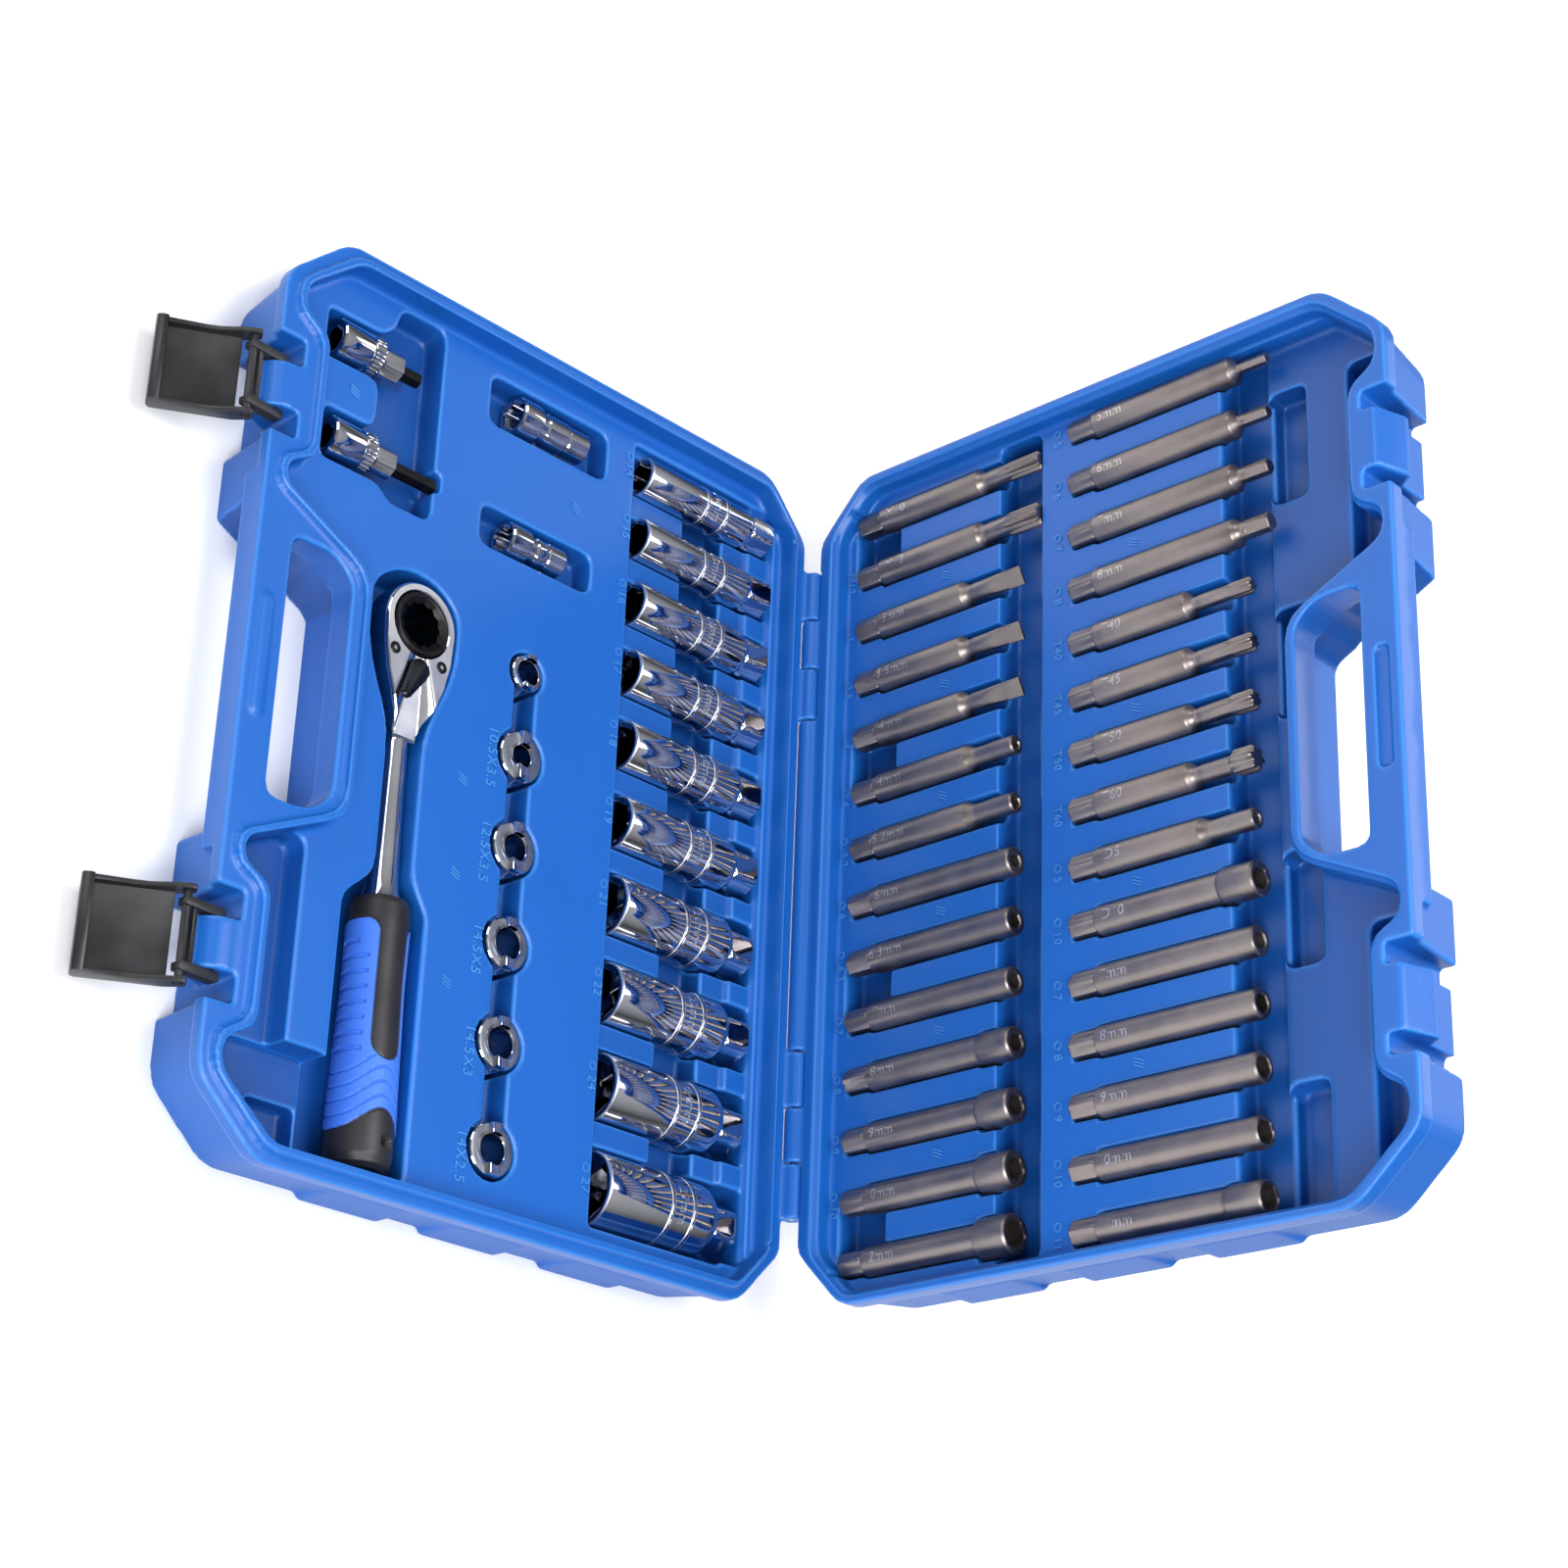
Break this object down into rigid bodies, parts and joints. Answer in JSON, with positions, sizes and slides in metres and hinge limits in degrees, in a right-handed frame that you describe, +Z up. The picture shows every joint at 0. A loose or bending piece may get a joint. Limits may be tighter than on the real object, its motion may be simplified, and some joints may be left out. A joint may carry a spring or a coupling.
{
  "type": "socket wrench set in case",
  "caption": "Blow-moulded carry case, standing open, with deep sockets, spigots, adapters and a ratchet in the base and long bits in the lid.",
  "frame": {"origin": "centre of the base half's flat underside", "axes": "+X along the hinge, from the left latch to the right one; +Y from the handle towards the hinge; +Z up"},
  "size_m": [0.44, 0.4417, 0.3945],
  "materials": {
    "case_plastic": "blue blow-moulded plastic, satin inside, finely grained outside",
    "latch_plastic": "black satin plastic",
    "pin_steel": "bright drawn steel wire",
    "chrome": "mirror-polished chrome plate",
    "bit_steel": "satin grey-brown tool steel",
    "black_steel": "black oxidised steel",
    "grip_rubber": "black and blue ribbed grip"
  },
  "bodies": {
    "base": {"case_base": "case_plastic", "hinge_pin": "pin_steel"},
    "lid": {"case_lid": "case_plastic"},
    "link_left": {"latch_link_left": "latch_plastic"},
    "link_right": {"latch_link_right": "latch_plastic"},
    "lever_left": {"latch_lever_left": "latch_plastic"},
    "lever_right": {"latch_lever_right": "latch_plastic"},
    "ratchet": {"ratchet_body": "chrome", "ratchet_grip": "grip_rubber"},
    "ring": {"ratchet_ring": "black_steel"},
    "reverser": {"ratchet_reversing_lever": "black_steel"},
    "socket_14mm": {"socket_14mm": "chrome"},
    "socket_15mm": {"socket_15mm": "chrome"},
    "socket_16mm": {"socket_16mm": "chrome"},
    "socket_17mm": {"socket_17mm": "chrome"},
    "socket_18mm": {"socket_18mm": "chrome"},
    "socket_19mm": {"socket_19mm": "chrome"},
    "socket_21mm": {"socket_21mm": "chrome"},
    "socket_22mm": {"socket_22mm": "chrome"},
    "socket_24mm": {"socket_24mm": "chrome"},
    "socket_27mm": {"socket_27mm": "chrome"},
    "spigot_10_5x3_5": {"spigot_10_5x3_5": "chrome"},
    "spigot_12_5x3_5": {"spigot_12_5x3_5": "chrome"},
    "spigot_14_5x3": {"spigot_14_5x3": "chrome"},
    "spigot_14_5x5": {"spigot_14_5x5": "chrome"},
    "spigot_14x2_5": {"spigot_14x2_5": "chrome"},
    "spigot_small": {"spigot_small": "chrome"},
    "bit_socket_short": {"bit_socket_short": "chrome"},
    "bit_socket_long": {"bit_socket_long": "chrome"},
    "adapter_large": {"adapter_large": "chrome"},
    "adapter_small": {"adapter_small": "chrome"},
    "bit_d10": {"bit_d10": "bit_steel"},
    "bit_d5": {"bit_d5": "bit_steel"},
    "bit_hex_5": {"bit_hex_5": "bit_steel"},
    "bit_hex_6": {"bit_hex_6": "bit_steel"},
    "bit_hex_7": {"bit_hex_7": "bit_steel"},
    "bit_hex_8": {"bit_hex_8": "bit_steel"},
    "bit_hollow_10": {"bit_hollow_10": "bit_steel"},
    "bit_hollow_12": {"bit_hollow_12": "bit_steel"},
    "bit_hollow_4": {"bit_hollow_4": "bit_steel"},
    "bit_hollow_5_2": {"bit_hollow_5_2": "bit_steel"},
    "bit_hollow_6": {"bit_hollow_6": "bit_steel"},
    "bit_hollow_6_3": {"bit_hollow_6_3": "bit_steel"},
    "bit_hollow_7": {"bit_hollow_7": "bit_steel"},
    "bit_hollow_8": {"bit_hollow_8": "bit_steel"},
    "bit_hollow_9": {"bit_hollow_9": "bit_steel"},
    "bit_m10": {"bit_m10": "bit_steel"},
    "bit_m12": {"bit_m12": "bit_steel"},
    "bit_slot_3": {"bit_slot_3": "bit_steel"},
    "bit_slot_3_5": {"bit_slot_3_5": "bit_steel"},
    "bit_slot_4": {"bit_slot_4": "bit_steel"},
    "bit_socket_10": {"bit_socket_10": "bit_steel"},
    "bit_socket_11": {"bit_socket_11": "bit_steel"},
    "bit_socket_7": {"bit_socket_7": "bit_steel"},
    "bit_socket_8": {"bit_socket_8": "bit_steel"},
    "bit_socket_9": {"bit_socket_9": "bit_steel"},
    "bit_t40": {"bit_t40": "bit_steel"},
    "bit_t45": {"bit_t45": "bit_steel"},
    "bit_t50": {"bit_t50": "bit_steel"},
    "bit_t60": {"bit_t60": "bit_steel"}
  },
  "joints": [
    {"name": "lid_hinge", "type": "hinge", "parent": "base", "child": "lid", "pos_m": [0, 0.178, 0.044], "axis": [-1, 0, 0], "range_deg": [-90, 90]},
    {"name": "link_pivot_left", "type": "hinge", "parent": "base", "child": "link_left", "pos_m": [-0.133, -0.1667, 0.035], "axis": [-1, 0, 0], "range_deg": [-27.5, 5]},
    {"name": "lever_pivot_left", "type": "hinge", "parent": "link_left", "child": "lever_left", "pos_m": [-0.133, -0.18206, 0.03607], "axis": [1, 0, 0], "range_deg": [-161.5, 15]},
    {"name": "link_pivot_right", "type": "hinge", "parent": "base", "child": "link_right", "pos_m": [0.133, -0.1667, 0.035], "axis": [-1, 0, 0], "range_deg": [-27.5, 5]},
    {"name": "lever_pivot_right", "type": "hinge", "parent": "link_right", "child": "lever_right", "pos_m": [0.133, -0.18206, 0.03607], "axis": [1, 0, 0], "range_deg": [-161.5, 15]},
    {"name": "socket_14mm_lift", "type": "slide", "parent": "base", "child": "socket_14mm", "axis": [0, 0, 1], "range_m": [0, 0.05]},
    {"name": "socket_15mm_lift", "type": "slide", "parent": "base", "child": "socket_15mm", "axis": [0, 0, 1], "range_m": [0, 0.05]},
    {"name": "socket_16mm_lift", "type": "slide", "parent": "base", "child": "socket_16mm", "axis": [0, 0, 1], "range_m": [0, 0.05]},
    {"name": "socket_17mm_lift", "type": "slide", "parent": "base", "child": "socket_17mm", "axis": [0, 0, 1], "range_m": [0, 0.05]},
    {"name": "socket_18mm_lift", "type": "slide", "parent": "base", "child": "socket_18mm", "axis": [0, 0, 1], "range_m": [0, 0.05]},
    {"name": "socket_19mm_lift", "type": "slide", "parent": "base", "child": "socket_19mm", "axis": [0, 0, 1], "range_m": [0, 0.05]},
    {"name": "socket_21mm_lift", "type": "slide", "parent": "base", "child": "socket_21mm", "axis": [0, 0, 1], "range_m": [0, 0.05]},
    {"name": "socket_22mm_lift", "type": "slide", "parent": "base", "child": "socket_22mm", "axis": [0, 0, 1], "range_m": [0, 0.05]},
    {"name": "socket_24mm_lift", "type": "slide", "parent": "base", "child": "socket_24mm", "axis": [0, 0, 1], "range_m": [0, 0.05]},
    {"name": "socket_27mm_lift", "type": "slide", "parent": "base", "child": "socket_27mm", "axis": [0, 0, 1], "range_m": [0, 0.05]},
    {"name": "spigot_10_5x3_5_lift", "type": "slide", "parent": "base", "child": "spigot_10_5x3_5", "axis": [0, 0, 1], "range_m": [0, 0.05]},
    {"name": "spigot_12_5x3_5_lift", "type": "slide", "parent": "base", "child": "spigot_12_5x3_5", "axis": [0, 0, 1], "range_m": [0, 0.05]},
    {"name": "spigot_14_5x3_lift", "type": "slide", "parent": "base", "child": "spigot_14_5x3", "axis": [0, 0, 1], "range_m": [0, 0.05]},
    {"name": "spigot_14_5x5_lift", "type": "slide", "parent": "base", "child": "spigot_14_5x5", "axis": [0, 0, 1], "range_m": [0, 0.05]},
    {"name": "spigot_14x2_5_lift", "type": "slide", "parent": "base", "child": "spigot_14x2_5", "axis": [0, 0, 1], "range_m": [0, 0.05]},
    {"name": "spigot_small_lift", "type": "slide", "parent": "base", "child": "spigot_small", "axis": [0, 0, 1], "range_m": [0, 0.05]},
    {"name": "bit_socket_short_lift", "type": "slide", "parent": "base", "child": "bit_socket_short", "axis": [0, 0, 1], "range_m": [0, 0.05]},
    {"name": "bit_socket_long_lift", "type": "slide", "parent": "base", "child": "bit_socket_long", "axis": [0, 0, 1], "range_m": [0, 0.05]},
    {"name": "adapter_large_lift", "type": "slide", "parent": "base", "child": "adapter_large", "axis": [0, 0, 1], "range_m": [0, 0.05]},
    {"name": "adapter_small_lift", "type": "slide", "parent": "base", "child": "adapter_small", "axis": [0, 0, 1], "range_m": [0, 0.05]},
    {"name": "ratchet_lift", "type": "slide", "parent": "base", "child": "ratchet", "axis": [0, 0, 1], "range_m": [0, 0.05]},
    {"name": "ring_turn", "type": "hinge", "parent": "ratchet", "child": "ring", "pos_m": [-0.051, -0.0725, 0.024], "axis": [0, 0, 1], "continuous": true},
    {"name": "reverser_turn", "type": "hinge", "parent": "ratchet", "child": "reverser", "pos_m": [-0.0275, -0.0725, 0.0324], "axis": [0, 0, 1], "range_deg": [0, 32]},
    {"name": "bit_d10_pull", "type": "slide", "parent": "lid", "child": "bit_d10", "axis": [0, -1, 0], "range_m": [0, 0.03]},
    {"name": "bit_d5_pull", "type": "slide", "parent": "lid", "child": "bit_d5", "axis": [0, -1, 0], "range_m": [0, 0.03]},
    {"name": "bit_hex_5_pull", "type": "slide", "parent": "lid", "child": "bit_hex_5", "axis": [0, -1, 0], "range_m": [0, 0.03]},
    {"name": "bit_hex_6_pull", "type": "slide", "parent": "lid", "child": "bit_hex_6", "axis": [0, -1, 0], "range_m": [0, 0.03]},
    {"name": "bit_hex_7_pull", "type": "slide", "parent": "lid", "child": "bit_hex_7", "axis": [0, -1, 0], "range_m": [0, 0.03]},
    {"name": "bit_hex_8_pull", "type": "slide", "parent": "lid", "child": "bit_hex_8", "axis": [0, -1, 0], "range_m": [0, 0.03]},
    {"name": "bit_hollow_10_pull", "type": "slide", "parent": "lid", "child": "bit_hollow_10", "axis": [0, -1, 0], "range_m": [0, 0.03]},
    {"name": "bit_hollow_12_pull", "type": "slide", "parent": "lid", "child": "bit_hollow_12", "axis": [0, -1, 0], "range_m": [0, 0.03]},
    {"name": "bit_hollow_4_pull", "type": "slide", "parent": "lid", "child": "bit_hollow_4", "axis": [0, -1, 0], "range_m": [0, 0.03]},
    {"name": "bit_hollow_5_2_pull", "type": "slide", "parent": "lid", "child": "bit_hollow_5_2", "axis": [0, -1, 0], "range_m": [0, 0.03]},
    {"name": "bit_hollow_6_pull", "type": "slide", "parent": "lid", "child": "bit_hollow_6", "axis": [0, -1, 0], "range_m": [0, 0.03]},
    {"name": "bit_hollow_6_3_pull", "type": "slide", "parent": "lid", "child": "bit_hollow_6_3", "axis": [0, -1, 0], "range_m": [0, 0.03]},
    {"name": "bit_hollow_7_pull", "type": "slide", "parent": "lid", "child": "bit_hollow_7", "axis": [0, -1, 0], "range_m": [0, 0.03]},
    {"name": "bit_hollow_8_pull", "type": "slide", "parent": "lid", "child": "bit_hollow_8", "axis": [0, -1, 0], "range_m": [0, 0.03]},
    {"name": "bit_hollow_9_pull", "type": "slide", "parent": "lid", "child": "bit_hollow_9", "axis": [0, -1, 0], "range_m": [0, 0.03]},
    {"name": "bit_m10_pull", "type": "slide", "parent": "lid", "child": "bit_m10", "axis": [0, -1, 0], "range_m": [0, 0.03]},
    {"name": "bit_m12_pull", "type": "slide", "parent": "lid", "child": "bit_m12", "axis": [0, -1, 0], "range_m": [0, 0.03]},
    {"name": "bit_slot_3_pull", "type": "slide", "parent": "lid", "child": "bit_slot_3", "axis": [0, -1, 0], "range_m": [0, 0.03]},
    {"name": "bit_slot_3_5_pull", "type": "slide", "parent": "lid", "child": "bit_slot_3_5", "axis": [0, -1, 0], "range_m": [0, 0.03]},
    {"name": "bit_slot_4_pull", "type": "slide", "parent": "lid", "child": "bit_slot_4", "axis": [0, -1, 0], "range_m": [0, 0.03]},
    {"name": "bit_socket_10_pull", "type": "slide", "parent": "lid", "child": "bit_socket_10", "axis": [0, -1, 0], "range_m": [0, 0.03]},
    {"name": "bit_socket_11_pull", "type": "slide", "parent": "lid", "child": "bit_socket_11", "axis": [0, -1, 0], "range_m": [0, 0.03]},
    {"name": "bit_socket_7_pull", "type": "slide", "parent": "lid", "child": "bit_socket_7", "axis": [0, -1, 0], "range_m": [0, 0.03]},
    {"name": "bit_socket_8_pull", "type": "slide", "parent": "lid", "child": "bit_socket_8", "axis": [0, -1, 0], "range_m": [0, 0.03]},
    {"name": "bit_socket_9_pull", "type": "slide", "parent": "lid", "child": "bit_socket_9", "axis": [0, -1, 0], "range_m": [0, 0.03]},
    {"name": "bit_t40_pull", "type": "slide", "parent": "lid", "child": "bit_t40", "axis": [0, -1, 0], "range_m": [0, 0.03]},
    {"name": "bit_t45_pull", "type": "slide", "parent": "lid", "child": "bit_t45", "axis": [0, -1, 0], "range_m": [0, 0.03]},
    {"name": "bit_t50_pull", "type": "slide", "parent": "lid", "child": "bit_t50", "axis": [0, -1, 0], "range_m": [0, 0.03]},
    {"name": "bit_t60_pull", "type": "slide", "parent": "lid", "child": "bit_t60", "axis": [0, -1, 0], "range_m": [0, 0.03]}
  ]
}
